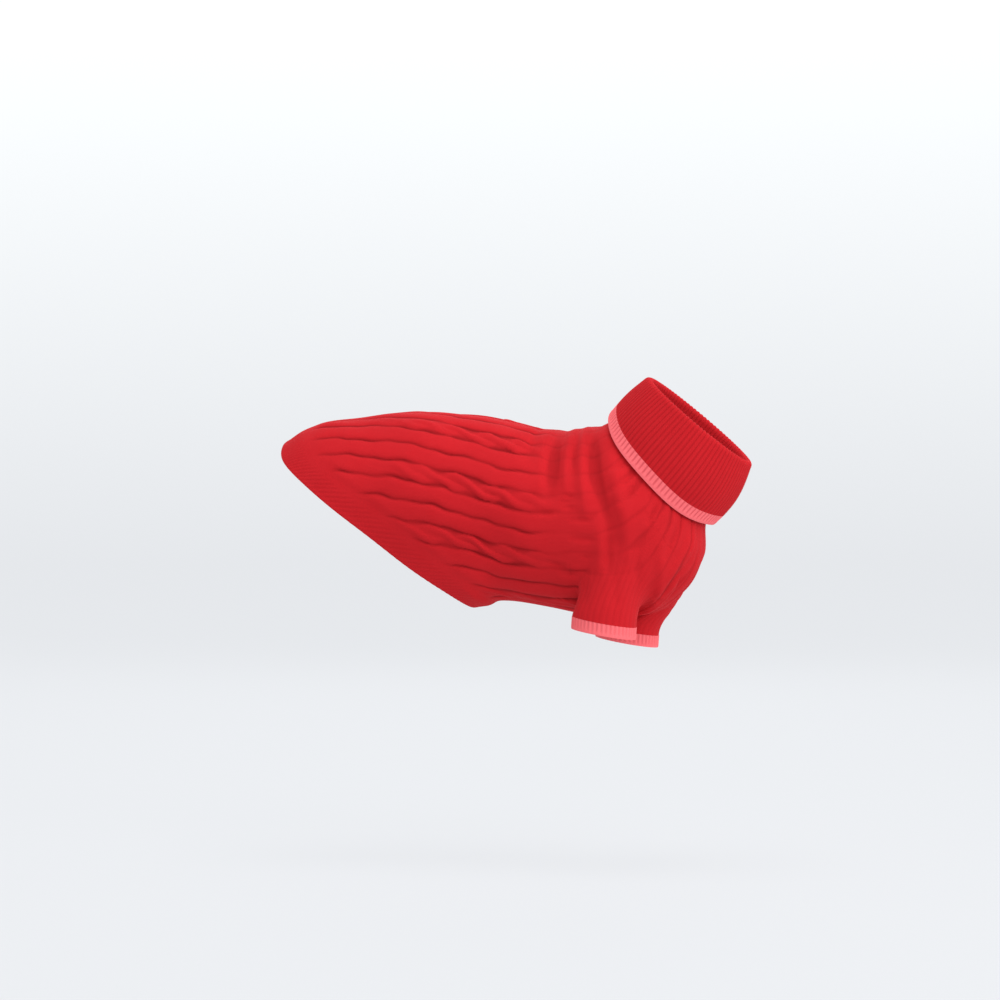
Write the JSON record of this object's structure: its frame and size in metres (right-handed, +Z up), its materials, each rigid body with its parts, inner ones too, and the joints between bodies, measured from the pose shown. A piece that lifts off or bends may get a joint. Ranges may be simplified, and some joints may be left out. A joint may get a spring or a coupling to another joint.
{
  "type": "dog sweater",
  "caption": "Cable-knit dog sweater in its worn form: hollow trunk with a slanted hem, turned-down roll neck and two short front sleeves with ribbed cuffs.",
  "frame": {"origin": "inside face of the cloth on top of the back, at the withers, where the sweater rests on its wearer", "axes": "+X towards the wearer's head, +Y towards the wearer's left, +Z up"},
  "size_m": [0.4174, 0.14, 0.2387],
  "materials": {
    "red_knit": "matte cable knit",
    "coral_rib": "matte 1x1 rib knit"
  },
  "bodies": {
    "root": {"back_panel": "red_knit", "chest_panel": "red_knit", "hem_band": "red_knit", "sleeve_right": "red_knit", "sleeve_left": "red_knit", "cuff_right": "coral_rib", "cuff_left": "coral_rib", "collar": "red_knit", "collar_tip": "coral_rib"}
  },
  "joints": []
}
